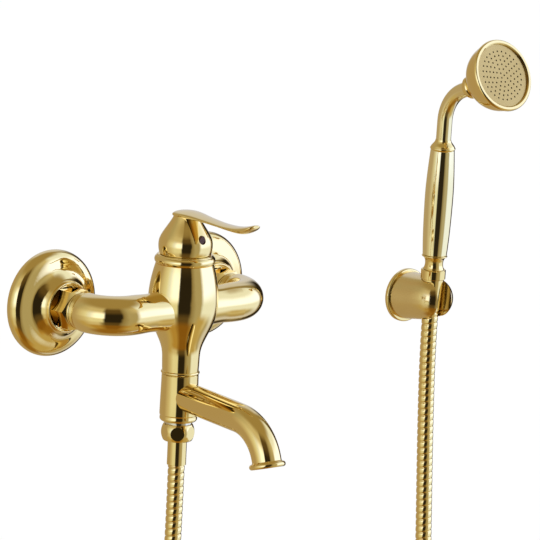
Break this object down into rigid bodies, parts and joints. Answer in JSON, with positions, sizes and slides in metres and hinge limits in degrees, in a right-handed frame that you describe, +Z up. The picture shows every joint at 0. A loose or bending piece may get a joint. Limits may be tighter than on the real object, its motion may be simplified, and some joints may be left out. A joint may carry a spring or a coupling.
{
  "type": "wall-mounted bath mixer with hand shower",
  "caption": "Single-lever wall bath mixer with bent arms, a swivel spout, and a hose to a hand shower in a wall bracket.",
  "frame": {"origin": "midway between the two wall inlets, on the wall plane", "axes": "+Y into the wall, +X to the right seen from the front, +Z up"},
  "size_m": [0.4419, 0.2045, 0.7365],
  "materials": {
    "polished_gold": "polished",
    "satin_gold": "satin",
    "raw_brass": "machined",
    "pale_ring": "polished",
    "steel": "machined",
    "ceramic": "lapped",
    "white_plastic": "moulded",
    "dark_plastic": "moulded",
    "rubber": "moulded"
  },
  "bodies": {
    "mixer_and_wall": {"wall_connector_left": "raw_brass", "wall_connector_right": "raw_brass", "inlet_washer_left": "rubber", "inlet_washer_right": "rubber", "union_nut_left": "polished_gold", "union_nut_right": "polished_gold", "rose_left": "polished_gold", "rose_right": "polished_gold", "rose_ring_left": "rubber", "rose_ring_right": "rubber", "mixer_body": "polished_gold", "base_gasket": "rubber", "cartridge_base": "white_plastic", "fixed_disc": "ceramic", "cartridge_housing": "white_plastic", "retaining_nut": "raw_brass", "trim_ring": "polished_gold", "spout_core": "raw_brass", "spout_seals": "rubber", "slip_washer_top": "white_plastic", "slip_washer_foot": "white_plastic", "outlet_nipple": "pale_ring", "hose_nut": "polished_gold", "hose_washer_lower": "rubber", "ferrule_lower": "polished_gold", "hose": "polished_gold", "bracket_plate": "polished_gold", "mounting_disc": "raw_brass", "wall_screws": "steel", "bracket_body": "satin_gold", "grub_screw": "steel"},
    "rotor": {"cartridge_rotor": "white_plastic", "lever_pin": "steel"},
    "slider": {"moving_disc": "ceramic"},
    "lever": {"lever_stem": "raw_brass", "handle_dome": "polished_gold", "lever_blade": "polished_gold", "set_screw": "steel", "index_plug": "dark_plastic"},
    "swivel_spout": {"spout": "polished_gold", "aerator_housing": "polished_gold", "aerator_insert": "white_plastic"},
    "hose_end": {"ferrule_upper": "polished_gold"},
    "hand_shower": {"hose_cone": "polished_gold", "hose_washer_upper": "rubber", "handset_tail": "polished_gold", "inner_tube": "raw_brass", "grip_sleeve": "polished_gold", "grip_collar": "polished_gold", "gooseneck": "polished_gold", "neck_nut": "polished_gold", "head_shell": "polished_gold", "head_gasket": "rubber", "spray_plate": "satin_gold"}
  },
  "joints": [
    {"name": "temperature", "type": "hinge", "parent": "mixer_and_wall", "child": "rotor", "pos_m": [0, -0.0707, 0.0415], "axis": [0, 0, 1], "range_deg": [-45, 45]},
    {"name": "lever_lift", "type": "hinge", "parent": "rotor", "child": "lever", "pos_m": [0, -0.0707, 0.0415], "axis": [-1, 0, 0], "range_deg": [0, 22]},
    {"name": "disc_travel", "type": "slide", "parent": "rotor", "child": "slider", "axis": [0, -1, 0], "range_m": [0, 0.00466]},
    {"name": "spout_swivel", "type": "hinge", "parent": "mixer_and_wall", "child": "swivel_spout", "pos_m": [0, -0.0707, -0.0747], "axis": [0, 0, 1], "range_deg": [-90, 90]},
    {"name": "lift_out", "type": "slide", "parent": "mixer_and_wall", "child": "hose_end", "axis": [0, -0.0384, 0.9993], "range_m": [0, 0.06]},
    {"name": "hand_shower_turn", "type": "hinge", "parent": "hose_end", "child": "hand_shower", "pos_m": [0.2967, -0.032, -0.0202], "axis": [0, -0.0384, 0.9993], "range_deg": [-45, 45]}
  ],
  "couplings": [
    {"joint": "disc_travel", "follows": "lever_lift", "m_per_rad": 0.011628}
  ]
}
